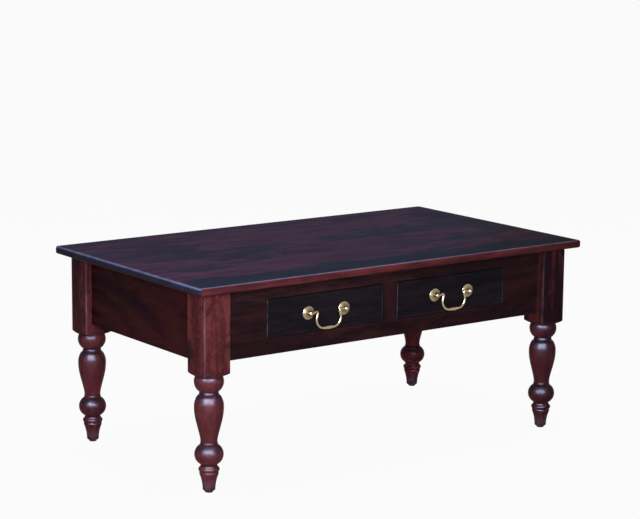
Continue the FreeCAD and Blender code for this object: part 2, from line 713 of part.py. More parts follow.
def bail():
    """A swinging bail about the X axis through the origin, hanging down, with its pins and its grip."""
    end_x = handle_half - POST_BALL_RADIUS + BAIL_END_GAP
    crest_x, crest_z = BAIL_CREST_SHARES
    half = [
        (end_x, 0),
        (end_x - BAIL_NECK_LENGTH, 0),
        (crest_x * handle_half, crest_z * BAIL_DROP),
        (BAIL_CORNER_SHARE * handle_half, -BAIL_DROP),
    ]
    other_half = [(-x, z) for x, z in reversed(half)]
    path = rounded_path(half + other_half, BAIL_TANGENT_SHARES + BAIL_TANGENT_SHARES[::-1])
    section = Part.Wire(Part.makeCircle(BAIL_WIRE_RADIUS, FreeCAD.Vector(end_x, 0, 0), X_AXIS))
    wire = path.makePipeShell([section], True, False)
    grip_end = BAIL_WIRE_RADIUS + BAIL_GRIP_STEP
    grip = turned((0, -BAIL_GRIP_LENGTH / 2), (
        ("line", (grip_end, -BAIL_GRIP_LENGTH / 2)),
        ("arc", (BAIL_GRIP_RADIUS, 0), (grip_end, BAIL_GRIP_LENGTH / 2)),
        ("line", (0, BAIL_GRIP_LENGTH / 2)),
    ))
    pieces = [aimed(grip, FreeCAD.Vector(0, 0, -BAIL_DROP), X_AXIS)]
    for side in (-1, 1):
        pieces.append(rod(BAIL_PIN_RADIUS, FreeCAD.Vector(side * end_x, 0, 0),
                          FreeCAD.Vector(side * handle_half, 0, 0)))
    return wire.multiFuse(pieces)


def handle(middle_x):
    """The rosettes, posts, nuts and bail of one drawer, and the holes that the posts need."""
    outwards = FreeCAD.Vector(0, -1, 0)
    rosettes = []
    posts = []
    nuts = []
    holes = []
    for side in (-1, 1):
        x = middle_x + side * handle_half
        face = FreeCAD.Vector(x, drawer_face_y, handle_z)
        back = FreeCAD.Vector(x, drawer_front_back_y, handle_z)
        rosettes.append(aimed(rosette(), face, outwards))
        posts.append(aimed(post(-side), face, outwards))
        nuts.append(aimed(nut(), back, Y_AXIS))
        holes.append(rod(POST_SHANK_RADIUS + HOLE_CLEARANCE, face, back))
    swing = bail()
    swing.translate(FreeCAD.Vector(middle_x, hinge_y, handle_z))
    return rosettes, posts, nuts, swing, holes


# The whole table

def frame_parts():
    """Everything that stands still."""
    parts = {}
    places = button_places()
    slots = [turned_to(button_tongue(BUTTON_SLOT_SLACK), place, out) for place, out in places]
    button_screws = [button_screw(place, out) for place, out in places]
    parts.update(top_boards(button_screws))
    parts["top_buttons"] = Part.makeCompound([turned_to(button(), place, out) for place, out in places])
    parts["top_button_screws"] = Part.makeCompound(button_screws)

    braces = {}
    brace_screws = []
    for x_name, sx in LEFT_RIGHT:
        for y_name, sy in FRONT_BACK:
            brace, screws = corner_block(sx, sy)
            braces[f"corner_block_{y_name}_{x_name}"] = brace
            brace_screws.extend(screws)
    parts.update(braces)
    parts["corner_block_screws"] = Part.makeCompound(brace_screws)

    runner_z = (opening_bottom - RUNNER_HEIGHT, opening_bottom)
    kicker_z = (opening_top, opening_top + KICKER_HEIGHT)
    bearer_mortises = []
    for place, span in bearer_spans().items():
        parts[f"runner_{place}"] = bearer(span, runner_z)
        parts[f"kicker_{place}"] = bearer(span, kicker_z)
        for z_ends in (runner_z, kicker_z):
            bearer_mortises.append(bearer_tenons(span, z_ends, RUNNER_MORTISE_SHARE))
    for place, span in guide_spans().items():
        parts[f"guide_{place}"] = block(span, about(0, long_inner_y),
                                        (opening_bottom, opening_bottom + GUIDE_HEIGHT))
    parts["drawer_stops"] = Part.makeCompound(drawer_stops())

    stile_mortises = []
    for place, span in front_stiles().items():
        stile = block(span, (-long_inner_y, -long_outer_y), (opening_bottom, opening_top))
        stile = stile.fuse(stile_tenons(span, 0)).removeSplitter()
        parts[f"front_stile_{place}"] = cut_all(stile, brace_screws)
        stile_mortises.append(stile_tenons(span, MORTISE_SLACK))

    leg_mortises = []
    long_boards = (
        ("front_top_rail", -1, (opening_top, apron_top), RAIL_TENON_SHOULDER),
        ("front_bottom_rail", -1, (apron_bottom, opening_bottom), RAIL_TENON_SHOULDER),
        ("apron_back", 1, (apron_bottom, apron_top), TENON_SHOULDER),
    )
    for name, sy, z_ends, shoulder in long_boards:
        board = long_board(sy, z_ends).fuse(long_tenons(sy, z_ends, shoulder, 0)).removeSplitter()
        parts[name] = cut_all(board, slots + bearer_mortises + stile_mortises + brace_screws)
        leg_mortises.append(long_tenons(sy, z_ends, shoulder, MORTISE_SLACK))
    for x_name, sx in LEFT_RIGHT:
        board = side_board(sx).fuse(side_tenons(sx, 0)).removeSplitter()
        parts[f"apron_{x_name}"] = cut_all(board, slots + brace_screws)
        leg_mortises.append(side_tenons(sx, MORTISE_SLACK))

    for x_name, sx in LEFT_RIGHT:
        for y_name, sy in FRONT_BACK:
            place = FreeCAD.Vector(sx * leg_middle_x, sy * leg_middle_y, 0)
            parts[f"leg_{y_name}_{x_name}"] = leg(sx, sy, leg_mortises)
            parts[f"glide_{y_name}_{x_name}"] = aimed(glide(), place, Z_AXIS)
    return parts


def drawer_parts():
    """The two drawers with their handles."""
    parts = {}
    for x_name, sx in LEFT_RIGHT:
        front, sides, back, bottom, screws = drawer_box(sx * drawer_middle_x)
        rosettes, posts, nuts, swing, holes = handle(sx * drawer_middle_x)
        drawer = f"drawer_{x_name}"
        parts[f"{drawer}_front"] = cut_all(front, holes)
        parts[f"{drawer}_side_left"] = sides[0]
        parts[f"{drawer}_side_right"] = sides[1]
        parts[f"{drawer}_back"] = back
        parts[f"{drawer}_bottom"] = bottom
        parts[f"{drawer}_bottom_screws"] = Part.makeCompound(screws)
        parts[f"{drawer}_rosettes"] = Part.makeCompound(rosettes)
        parts[f"{drawer}_handle_posts"] = Part.makeCompound(posts)
        parts[f"{drawer}_handle_nuts"] = Part.makeCompound(nuts)
        parts[f"bail_{x_name}"] = swing
    return parts


def main():
    os.makedirs("parts", exist_ok=True)
    for name, shape in {**frame_parts(), **drawer_parts()}.items():
        shape.exportStep(f"parts/{name}.step")


main()
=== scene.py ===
"""Coffee table with two drawers: woods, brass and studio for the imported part, laid out as an add-on."""

import json
import math
from typing import NamedTuple

import bpy
import numpy as np
from bpy.props import FloatProperty, FloatVectorProperty, PointerProperty
from mathutils import Matrix, Vector


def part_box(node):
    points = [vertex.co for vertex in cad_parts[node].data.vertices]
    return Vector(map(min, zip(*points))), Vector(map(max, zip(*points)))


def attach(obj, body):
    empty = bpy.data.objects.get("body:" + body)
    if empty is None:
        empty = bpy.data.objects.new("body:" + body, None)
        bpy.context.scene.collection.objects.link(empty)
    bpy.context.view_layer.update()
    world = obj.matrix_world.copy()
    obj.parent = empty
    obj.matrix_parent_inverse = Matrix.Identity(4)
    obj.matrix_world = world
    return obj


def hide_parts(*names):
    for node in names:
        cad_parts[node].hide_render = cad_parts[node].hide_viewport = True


bl_info = {
    "name": "Coffee table with two drawers",
    "version": (1, 0, 0),
    "blender": (4, 5, 0),
    "location": "View3D > Sidebar > Table",
    "description": "Dresses a coffee table with stained woods, brass handles and a plain studio",
    "category": "Object",
}

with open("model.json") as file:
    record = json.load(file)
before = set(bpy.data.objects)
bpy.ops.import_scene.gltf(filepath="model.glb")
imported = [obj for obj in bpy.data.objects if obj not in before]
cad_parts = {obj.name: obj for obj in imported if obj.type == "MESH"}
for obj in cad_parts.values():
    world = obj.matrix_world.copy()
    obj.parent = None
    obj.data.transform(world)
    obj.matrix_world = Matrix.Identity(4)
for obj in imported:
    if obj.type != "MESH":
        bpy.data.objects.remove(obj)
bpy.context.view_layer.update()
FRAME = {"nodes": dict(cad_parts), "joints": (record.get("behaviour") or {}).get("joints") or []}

# Which way the grain of a board runs, as the turn that lays that axis along X
GRAIN_TURNS = {
    "X": (0.0, 0.0, 0.0),
    "Y": (0.0, 0.0, -math.pi / 2),
    "Z": (0.0, math.pi / 2, 0.0),
}

ORIGIN = (0.0, 0.0, 0.0)
LEG_NAMES = ("front_left", "front_right", "back_left", "back_right")
DRAWER_NAMES = ("left", "right")
BRASS_ENDINGS = ("_rosette_plates", "_handle_posts", "_wire")
TOP_BOARD_COUNT = 6


# Properties


def stain(name, description, default):
    """A colour property, in linear light."""
    return FloatVectorProperty(
        name=name, description=description, subtype="COLOR", size=3, min=0.0, max=1.0, default=default
    )


def share(name, description, default):
    """A property from 0 to 1."""
    return FloatProperty(
        name=name, description=description, subtype="FACTOR", min=0.0, max=1.0, default=default
    )


def length(name, description, default):
    """A length property, in metres."""
    return FloatProperty(
        name=name, description=description, subtype="DISTANCE", unit="LENGTH", min=0.0, default=default
    )


def point(name, description, default):
    """A property for a place, in metres."""
    return FloatVectorProperty(
        name=name, description=description, subtype="TRANSLATION", unit="LENGTH", size=3, default=default
    )


def watts(name, description, default):
    """A property for the power of a lamp, in watts."""
    return FloatProperty(name=name, description=description, unit="POWER", min=0.0, default=default)


class TableWoods(bpy.types.PropertyGroup):
    """Stains of the wooden pieces."""

    top_light: stain("Top, red wood", "Red wood of the upper face", (0.0390, 0.0100, 0.0190))
    top_warm: stain("Top, warm wood", "Warm spots in the red wood", (0.0520, 0.0145, 0.0155))
    top_dark: stain("Top, heartwood", "Dark heartwood of the upper face", (0.0050, 0.0056, 0.0090))
    edge_light: stain("Top edge, light", "Red grain of the long edges", (0.092, 0.0160, 0.0152))
    edge_dark: stain("Top edge, dark", "Dark grain of the long edges", (0.031, 0.0076, 0.0086))
    # The end grain of the top is tinted with a painted cool reflection
    end_reflection_light: stain("Top end, light", "Light end grain of the top", (0.0100, 0.0096, 0.0180))
    end_reflection_dark: stain("Top end, dark", "Dark end grain of the top", (0.0050, 0.0048, 0.0090))
    # Painted highlight: a pale bluish colour laid on the rounded edges of the top and drawer fronts, the
    # arrises of the legs and their toes
    highlit: stain("Rubbed edges", "Pale lacquer where edges are rubbed", (0.165, 0.150, 0.215))
    leg_light: stain("Legs, light", "Red grain of the legs", (0.138, 0.0290, 0.0272))
    leg_dark: stain("Legs, dark", "Dark grain of the legs", (0.053, 0.0102, 0.0104))
    # The turning's stain is partly a painted cool sheen: its green and blue are raised for the sheen on
    # the vases
    turning: stain("Turning", "Deeper stain of the turned part of the legs", (0.094, 0.0190, 0.0252))
    # Painted shade: dark bluish bands on the upper shoulders and hollows of the turning, where shade and
    # dark reflection fall
    painted_shade: stain("Glaze", "Dark glaze left in the hollows of the turning", (0.018, 0.0105, 0.0200))
    knot: stain("Knots", "Dark knots and scuffs of the legs", (0.0120, 0.0048, 0.0068))
    apron_red: stain("Aprons, red", "Red wood of the aprons", (0.0450, 0.0082, 0.0102))
    apron_tan: stain("Aprons, tan", "Tan growth rings", (0.0430, 0.0146, 0.0094))
    apron_brown: stain("Aprons, brown", "Brown grain of the aprons", (0.0146, 0.0039, 0.0047))
    apron_dark: stain("Aprons, dark", "Purple-black growth rings", (0.0070, 0.0037, 0.0077))
    rail_light: stain("Rails, light", "Light grain of rails and stiles", (0.0310, 0.0100, 0.0108))
    rail_dark: stain("Rails, dark", "Dark grain of rails and stiles", (0.0112, 0.0052, 0.0064))
    drawer_light: stain("Drawers, light", "Light grain of the drawer fronts", (0.0142, 0.0097, 0.0128))
    drawer_dark: stain("Drawers, dark", "Dark grain of the drawer fronts", (0.0067, 0.0049, 0.0066))
    inner_light: stain("Inner wood, light", "Early growth of the bare inner wood", (0.50, 0.34, 0.20))
    inner_dark: stain("Inner wood, dark", "Late growth of the bare inner wood", (0.30, 0.17, 0.085))


class TableHandles(bpy.types.PropertyGroup):
    """Sizes of the brass handles."""

    wire: length("Wire", "Radius of the wire of a bail", 0.0026)
    pin: length("Pins", "Radius of the pins at the ends of a bail", 0.0022)
    pin_length: length("Pin length", "Length of a pin", 0.0048)
    grip: length("Grip", "Radius of the grip at its middle", 0.0043)
    grip_length: length("Grip length", "Length of the swell of the grip", 0.040)
    rim: length("Rosette rim", "Thickness of a rosette at its rim", 0.0013)


class TableMetals(bpy.types.PropertyGroup):
    """Brass of the handles, steel of screws and nuts, and plastic of the glides."""

    brass: stain("Brass", "Clean satin brass", (0.395, 0.315, 0.195))
    # Also the colour of the painted shade round the posts of the rosettes
    brown_brass: stain("Tarnish", "Brown brass where the polish has gone", (0.070, 0.042, 0.021))
    steel: stain("Steel", "Screws and nuts of the table", (0.42, 0.42, 0.43))
    glide: stain("Glides", "Dark pads under the feet", (0.016, 0.014, 0.014))
    brass_roughness: share("Brass roughness", "How satin the brass is", 0.28)


class TableStage(bpy.types.PropertyGroup):
    """Camera, floor and lamps."""

    camera_place: point("Camera place", "Where the camera stands", (-2.797596, -3.817943, 1.294586))
    camera_aim: point("Camera aim", "The point in the middle of the picture", (-0.0112, -0.0086, 0.4200))
    camera_roll: FloatProperty(
        name="Camera roll",
        description="Turn of the camera about its line of sight",
        subtype="ANGLE",
        unit="ROTATION",
        default=math.radians(0.51),
    )
    lens: FloatProperty(
        name="Lens", description="Focal length for a 36 mm wide sensor, in mm", min=1.0, default=116.54
    )
    floor: stain("Floor", "Pale floor", (0.60, 0.60, 0.60))
    ambient: FloatProperty(
        name="Ambient", description="Strength of the even light from all round", min=0.0, default=0.12
    )
    window_power: watts("Window lamps", "Power of the soft lamps that light the table", 46.5)
    sky_power: watts("Sky lamp", "Power of the cool lamp over the top", 56.0)
    gloss_power: watts("Gloss panels", "Power of the panels that show only in gloss", 9000.0)


# Shader maths


class Flow:
    """A socket of a shader tree used as a value: arithmetic on it adds Math nodes."""

    def __init__(self, tree, socket=None):
        self.tree = tree
        self.socket = socket

    def node(self, kind, settings=None, sockets=None, output=0):
        """Adds a node of any kind: its settings first, then the values or links of its sockets."""
        made = self.tree.nodes.new(kind)
        for name, value in (settings or {}).items():
            setattr(made, name, value)
        for key, value in (sockets or {}).items():
            if isinstance(value, Flow):
                self.tree.links.new(value.socket, made.inputs[key])
            else:
                made.inputs[key].default_value = value
        return Flow(self.tree, made.outputs[output])

    def maths(self, operation, other=0.0):
        """Math on this value and another."""
        return self.node("ShaderNodeMath", {"operation": operation}, {0: self, 1: other})

    def __add__(self, other):
        return self.maths("ADD", other)

    def __sub__(self, other):
        return self.maths("SUBTRACT", other)

    def __rsub__(self, other):
        return self.node("ShaderNodeMath", {"operation": "SUBTRACT"}, {0: other, 1: self})

    def __mul__(self, other):
        return self.maths("MULTIPLY", other)

    __radd__ = __add__
    __rmul__ = __mul__

    def ramp(self, low, high):
        """0 below low, 1 above high and a smooth step between."""
        sockets = {"Value": self, "From Min": low, "From Max": high}
        return self.node("ShaderNodeMapRange", {"interpolation_type": "SMOOTHSTEP"}, sockets)

    def mix(self, first, second):
        """A colour from first to second as this value goes from 0 to 1."""
        return self.node("ShaderNodeMix", {"data_type": "RGBA"}, {0: self, 6: first, 7: second}, 2)

    def coordinates(self, kind="Object"):
        """The place of the point that is shaded."""
        return self.node("ShaderNodeTexCoord", None, None, kind)

    def vector(self, operation, other=ORIGIN, output=0):
        """Vector Math on this vector and another."""
        return self.node("ShaderNodeVectorMath", {"operation": operation}, {0: self, 1: other}, output)

    def parts(self):
        """X, Y and Z of this vector."""
        return [self.node("ShaderNodeSeparateXYZ", None, {"Vector": self}, axis) for axis in "XYZ"]

    def apart(self, middle, shares):
        """Distance of this place from a middle, with a share of each direction."""
        return self.vector("SUBTRACT", middle).vector("MULTIPLY", shares).vector("LENGTH", output=1)

    def noise(self, stretch, detail=2.0, roughness=0.5):
        """Noise on this place stretched by three scales, about 0 to 1."""
        place = self.vector("MULTIPLY", stretch)
        sockets = {"Vector": place, "Scale": 1.0, "Detail": detail, "Roughness": roughness}
        return self.node("ShaderNodeTexNoise", {"noise_dimensions": "3D"}, sockets)


def opaque(tint, gain=1.0):
    """A colour of three numbers as four, made lighter or darker by gain."""
    return tuple(min(1.0, part * gain) for part in tint) + (1.0,)


def new_material(name):
    """An empty material, its Principled shader and a Flow to build on."""
    material = bpy.data.materials.new(name)
    material.use_nodes = True
    tree = material.node_tree
    shader = tree.nodes["Principled BSDF"]
    return material, shader, Flow(tree)


def feed(flow, shader, **sockets):
    """Sets or links sockets of the Principled shader; an underscore stands for a space."""
    for key, value in sockets.items():
        socket = shader.inputs[key.replace("_", " ")]
        if isinstance(value, Flow):
            flow.tree.links.new(value.socket, socket)
        else:
            socket.default_value = value


class Grain(NamedTuple):
    """How a board is cut: grain axis, part of the log, tilt and sway of the grain, bands per metre."""

    axis: str = "X"
    seed: float = 0.0
    tilt: float = 0.02
    sway: float = 0.05
    bands: float = 14.0


class Lacquer(NamedTuple):
    """Gloss of a finish: its specular level and its roughness."""

    level: float
    roughness: float


TOP_LACQUER = Lacquer(0.0015, 0.45)
EDGE_LACQUER = Lacquer(0.008, 0.34)
BLOCK_LACQUER = Lacquer(0.006, 0.36)
TURNING_LACQUER = Lacquer(0.010, 0.36)
APRON_LACQUER = Lacquer(0.006, 0.40)
RAIL_LACQUER = Lacquer(0.008, 0.38)
DRAWER_LACQUER = Lacquer(0.015, 0.36)
BARE = Lacquer(0.2, 0.6)

# How much and how deep, in metres, the grain stands out from the lacquer
RELIEF = {"Strength": 0.08, "Distance": 0.0004}


class Figure(NamedTuple):
    """Parts of a board's look, each from 0 to 1, and the place that they are worked out on."""

    place: Flow
    bands: Flow
    mottle: Flow
    streaks: Flow
    lines: Flow
    pores: Flow

    def ragged(self, amount):
        """An uneven amount about zero that breaks up the edge of a blot or ring."""
        return (self.mottle - 0.5) * amount + (self.streaks - 0.5) * (0.5 * amount)

    def blot(self, middle, halves, ragged=0.9):
        """1 at the middle and 0 outside an ellipsoid of those half sizes, of which 0 is endless."""
        scale = tuple(1.0 / half if half else 0.0 for half in halves)
        return 1.0 - (self.place.apart(middle, scale) + self.ragged(ragged)).ramp(0.35, 1.15)


def wood_figure(flow, grain):
    """Figure of a board: broad bands, mottle, streaks, fine lines and pores.

    The place is turned so that the grain runs along X, moved to the board's own part of the log and bent
    by slow noise. Each part of the figure is noise that is longer along the grain than across it.
    """
    place = flow.coordinates()
    turned = flow.node("ShaderNodeMapping", None, {"Vector": place, "Rotation": GRAIN_TURNS[grain.axis]})
    tilt = (0.0, grain.tilt * 0.6, grain.tilt)
    shift = (3.1 * grain.seed, 0.57 * grain.seed, 0.23 * grain.seed)
    log = flow.node("ShaderNodeMapping", None, {"Vector": turned, "Rotation": tilt, "Location": shift})
    drift = log.noise((2.2, 6.0, 6.0), 2.0) - 0.5
    bend = {"Y": drift * grain.sway, "Z": drift * (0.6 * grain.sway)}
    log = log.vector("ADD", flow.node("ShaderNodeCombineXYZ", None, bend))
    return Figure(
        place=place,
        bands=log.noise((1.2, grain.bands, grain.bands), 3.0, 0.6).ramp(0.30, 0.70),
        mottle=log.noise((9.0, 30.0, 30.0), 4.0, 0.65).ramp(0.32, 0.68),
        streaks=log.noise((4.0, 110.0, 110.0), 4.0, 0.6).ramp(0.30, 0.70),
        lines=log.noise((14.0, 620.0, 620.0), 2.0, 0.6).ramp(0.30, 0.70),
        pores=log.noise((45.0, 1500.0, 1500.0), 1.0).ramp(0.60, 0.70),
    )


def finish_wood(flow, shader, tint, figure, lacquer):
    """Lays a colour under lacquer: fine relief and a slight change of gloss along the grain."""
    height = figure.lines * 0.15 + figure.streaks * 0.2 - figure.pores
    bump = flow.node("ShaderNodeBump", None, {**RELIEF, "Height": height})
    rough = (figure.streaks - 0.5) * 0.07 + (figure.pores * 0.08 + lacquer.roughness)
    feed(flow, shader, Base_Color=tint, Roughness=rough, Normal=bump)
    feed(flow, shader, Specular_IOR_Level=lacquer.level)


def grain_tint(figure, dark, light, gain=1.0):
    """The stain of a board, from dark to light along its figure, with dark pores."""
    tone = figure.bands * 0.34 + figure.mottle * 0.28 + figure.streaks * 0.24 + figure.lines * 0.14
    tint = tone.ramp(0.22, 0.78).mix(opaque(dark, gain), opaque(light, gain))
    return (figure.pores * 0.4).mix(tint, opaque(dark, 0.7 * gain))


def wood(name, stains, grain, gain, lacquer, shades=()):
    """Wood from a dark to a light stain along its figure, darker in some shaded places."""
    dark, light = stains
    material, shader, flow = new_material(name)
    figure = wood_figure(flow, grain)
    tint = grain_tint(figure, dark, light, gain)
    for middle, halves, strength in shades:
        tint = (figure.blot(middle, halves) * strength).mix(tint, opaque(dark))
    finish_wood(flow, shader, tint, figure, lacquer)
    return material


def bare_wood(name, woods, grain, gain=1.0):
    """Wood of the hidden pieces, which has no stain and no lacquer."""
    return wood(name, (woods.inner_dark, woods.inner_light), grain, gain, BARE)


def ring_mask(distance, rings):
    """1 on any of some rings or bands, falling to 0 at their half width."""
    mask = distance * 0.0
    for place, half_width, strength in rings:
        apart = distance - place
        ring = (1.0 - apart.maths("ABSOLUTE").ramp(0.0, half_width)) * strength
        mask = mask.maths("MAXIMUM", ring)
    return mask


# How light the stain of each leg is
LEG_GAINS = {"front_left": 1.0, "front_right": 0.70, "back_left": 0.90, "back_right": 1.0}

# Knots and dark places of the legs, each with its middle and half sizes in metres and its strength
LEG_KNOTS = {
    "front_left": (
        ((-0.506, -0.222, 0.305), (0.020, 0.020, 0.028), 0.8),
        ((-0.442, -0.280, 0.322), (0.016, 0.020, 0.014), 0.8),
    ),
    "front_right": (
        ((0.488, -0.280, 0.350), (0.052, 0.030, 0.300), 0.97),
        ((0.444, -0.280, 0.392), (0.020, 0.020, 0.014), 0.9),
    ),
    "back_left": (((-0.506, 0.254, 0.350), (0.016, 0.040, 0.200), 0.6),),
    "back_right": (((0.506, 0.240, 0.350), (0.020, 0.014, 0.026), 0.8),),
}

# Heights in metres: how far up a foot is scuffed and carries painted highlights at its toe, where the
# block begins, and how soft that line is
FOOT_HEIGHT = 0.085
BLOCK_HEIGHT = 0.2625
BLOCK_BLEND = 0.004

# Bands of painted shade on the upper shoulders and in the hollows of the turning, each with its height,
# half height and strength
LEG_SHADE_BANDS = (
    (0.258, 0.010, 0.5),
    (0.217, 0.018, 0.8),
    (0.101, 0.013, 0.8),
    (0.081, 0.022, 0.2),
    (0.062, 0.008, 0.6),
    (0.008, 0.008, 0.6),
)

# Scales of the noise for the marks on a leg, per metre
FLECK_SCALE = (120.0, 120.0, 100.0)
PATCH_SCALE = (24.0, 24.0, 30.0)
SCUFF_SCALE = (90.0, 90.0, 45.0)

# How far inside the corner of a block the painted highlight on its arris begins and is full, in metres
ARRIS_DEPTHS = (0.0035, 0.0020)


def leg_wood(name, woods, grain, place, lacquer):
    """Wood of a leg: flecks, knots, a painted highlight on the arrises, a deeper stained turning with a
    painted cool sheen and bands of painted shade, and a scuffed foot with painted highlights at the toe.

    An arris is where the distances from the leg's axis along X and along Y add up to the most.
    """
    material, shader, flow = new_material(name)
    figure = wood_figure(flow, grain)
    gain = LEG_GAINS[place]
    low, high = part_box(f"leg_{place}")
    height = figure.place.parts()[2]
    tint = grain_tint(figure, woods.leg_dark, woods.leg_light, gain)
    flecks = figure.place.noise(FLECK_SCALE, 3.0, 0.7)
    patches = figure.place.noise(PATCH_SCALE, 2.0, 0.6).ramp(0.34, 0.66)
    dark_flecks = flecks.ramp(0.44, 0.62) * (patches * 0.6 + 0.2)
    light_flecks = (1.0 - flecks.ramp(0.34, 0.48)) * 0.4
    tint = dark_flecks.mix(tint, opaque(woods.leg_dark, 0.8 * gain))
    tint = light_flecks.mix(tint, opaque(woods.leg_light, 1.2 * gain))
    for knot, halves, strength in LEG_KNOTS[place]:
        tint = (figure.blot(knot, halves) * strength).mix(tint, opaque(woods.knot))
    turned = 1.0 - height.ramp(BLOCK_HEIGHT - BLOCK_BLEND, BLOCK_HEIGHT + BLOCK_BLEND)
    # Deeper stain of the turning, with a painted cool sheen in its colour
    tint = (turned * 0.45).mix(tint, opaque(woods.turning, gain))
    foot = 1.0 - height.ramp(0.3 * FOOT_HEIGHT, FOOT_HEIGHT)
    toe = 1.0 - height.ramp(0.1 * FOOT_HEIGHT, 0.5 * FOOT_HEIGHT)
    scuffs = figure.place.noise(SCUFF_SCALE, 3.0, 0.6)
    tint = (scuffs.ramp(0.50, 0.66) * foot * 0.6).mix(tint, opaque(woods.knot))
    # Painted highlight: pale spots at the toe
    tint = (toe * scuffs * 0.3).mix(tint, opaque(woods.highlit))
    # Painted shade in bands on the shoulders and hollows of the turning
    painted_shade = ring_mask(height + figure.ragged(0.004), LEG_SHADE_BANDS) * 0.95
    tint = painted_shade.mix(tint, opaque(woods.painted_shade, gain))
    from_axis = figure.place.vector("SUBTRACT", tuple((low + high) / 2)).vector("ABSOLUTE")
    across, along, _ = from_axis.parts()
    starts, full = (high.x - low.x - depth for depth in ARRIS_DEPTHS)
    arris = (across + along).ramp(starts, full) * (figure.mottle * 0.6 + 0.3)
    # Painted highlight along the arrises of the block
    tint = (arris * 0.4).mix(tint, opaque(woods.highlit, gain))
    finish_wood(flow, shader, tint, figure, lacquer)
    return material


class Rings(NamedTuple):
    """Growth rings of an apron: a point on their axis, the share of each direction in the distance
    from it, and the middle and half sizes of a place without rings.
    """

    middle: tuple
    shares: tuple
    plain_middle: tuple
    plain_halves: tuple


# Dark places of the front rails, each with its middle and half sizes in metres and its strength
RAIL_SHADES = {
    "top": (((0.32, 0.0, 0.0), (0.42, 0.0, 0.0), 0.7),),
    "bottom": (((-0.40, 0.0, 0.0), (0.26, 0.0, 0.0), 0.6),),
}

# Growth rings of the aprons, each with its distance, half width and strength
TAN_RINGS = ((0.058, 0.008, 0.4), (0.090, 0.010, 0.8), (0.146, 0.009, 0.6))
DARK_RINGS = ((0.074, 0.010, 0.4), (0.118, 0.020, 1.0), (0.176, 0.012, 0.4))


def apron_wood(name, woods, grain, rings):
    """Wood of an apron cut near the heart: tan and dark growth rings, broken up by the figure."""
    material, shader, flow = new_material(name)
    figure = wood_figure(flow, grain)
    distance = figure.place.apart(rings.middle, rings.shares) + figure.ragged(0.016)
    tint = grain_tint(figure, woods.apron_brown, woods.apron_red)
    plain = figure.blot(rings.plain_middle, rings.plain_halves)
    ringed = 1.0 - plain
    dark = ring_mask(distance, DARK_RINGS) * ringed * (figure.mottle * 0.4 + 0.55)
    tan = ring_mask(distance, TAN_RINGS) * (figure.mottle * 0.7 + 0.2)
    tint = (plain * 0.6).mix(tint, opaque(woods.apron_red, 1.2))
    tint = dark.mix(tint, opaque(woods.apron_dark))
    tint = tan.mix(tint, opaque(woods.apron_tan))
    finish_wood(flow, shader, tint, figure, APRON_LACQUER)
    return material


# Heartwood streaks of the top, each with its middle, half length and half width in metres and strength
TOP_STREAKS = (
    ((0.320, 0.045), 0.40, 0.058, 0.85),
    ((-0.225, -0.010), 0.18, 0.075, 0.75),
    ((-0.360, 0.115), 0.12, 0.070, 0.75),
    ((-0.470, 0.140), 0.20, 0.170, 0.55),
    ((-0.415, -0.122), 0.15, 0.032, 0.75),
    ((0.335, -0.125), 0.15, 0.044, 0.75),
    ((0.150, -0.120), 0.07, 0.030, 0.55),
    ((0.255, 0.235), 0.13, 0.034, 0.75),
    ((-0.080, 0.275), 0.24, 0.036, 0.62),
    ((-0.430, 0.270), 0.10, 0.040, 0.62),
    ((0.480, -0.060), 0.13, 0.100, 0.75),
    ((0.500, 0.190), 0.11, 0.095, 0.75),
    ((0.500, 0.040), 0.24, 0.260, 0.50),
)

# Where along Y the heartwood of the front board begins to fade and where it has gone, in metres
FRONT_BOARD_FADE = (-0.234, -0.194)

# Scale of the noise for the warm spots of the top, per metre
WARM_SCALE = (6.0, 14.0, 0.0)


def top_wood(name, woods, grain):
    """Upper face of a top board: red wood, warm spots and heartwood, which is all along the front."""
    material, shader, flow = new_material(name)
    figure = wood_figure(flow, grain)
    _, across, _ = figure.place.parts()
    dark = 1.0 - (across + figure.ragged(0.026)).ramp(*FRONT_BOARD_FADE)
    for (x, y), half_length, half_width, strength in TOP_STREAKS:
        streak = figure.blot((x, y, 0.0), (half_length, half_width, 0.0), 1.1) * strength
        dark = dark.maths("MAXIMUM", streak)
    tone = figure.mottle * 0.40 + figure.streaks * 0.25 + figure.lines * 0.20 + figure.bands * 0.15
    tone = tone.ramp(0.22, 0.78)
    red = tone.mix(opaque(woods.top_light, 0.55), opaque(woods.top_light, 1.30))
    warm = figure.place.noise(WARM_SCALE, 2.0, 0.6).ramp(0.56, 0.74) * (tone * 0.7 + 0.1)
    red = warm.mix(red, opaque(woods.top_warm))
    black = tone.mix(opaque(woods.top_dark, 0.65), opaque(woods.top_dark, 1.35))
    finish_wood(flow, shader, (dark * 0.95).mix(red, black), figure, TOP_LACQUER)
    return material


class Edge(NamedTuple):
    """An edge of the top: stains, depth and strength of the painted highlight on its upper round, height
    of its foot of painted shade.
    """

    dark: tuple
    light: tuple
    highlight_depth: float
    highlight_strength: float
    foot: float


def edge_wood(name, woods, edge, grain, node):
    """Wood of an edge of the top: a painted highlight on its upper round and painted shade along its
    foot.
    """
    material, shader, flow = new_material(name)
    figure = wood_figure(flow, grain)
    low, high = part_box(node)
    height = figure.place.parts()[2]
    # upper holds the painted highlight on the round; under holds painted shade along the foot, in a
    # darker edge stain
    upper = height.ramp(high.z - edge.highlight_depth, high.z - 0.3 * edge.highlight_depth)
    under = 1.0 - (height + figure.ragged(0.002)).ramp(low.z + 0.6 * edge.foot, low.z + 1.1 * edge.foot)
    tint = grain_tint(figure, edge.dark, edge.light)
    tint = (under * 0.85).mix(tint, opaque(woods.edge_dark, 0.55))
    tint = (upper * (figure.mottle * 0.5 + 0.5) * edge.highlight_strength).mix(tint, opaque(woods.highlit))
    finish_wood(flow, shader, tint, figure, EDGE_LACQUER)
    return material


# Where the painted highlight along the ends and foot and the painted shade along the head of a drawer
# front are full and where they have gone, in metres
SIDE_HIGHLIGHT = (0.0006, 0.0030)
FOOT_HIGHLIGHT = (0.0006, 0.0026)
HEAD_SHADE = (0.0006, 0.0040)


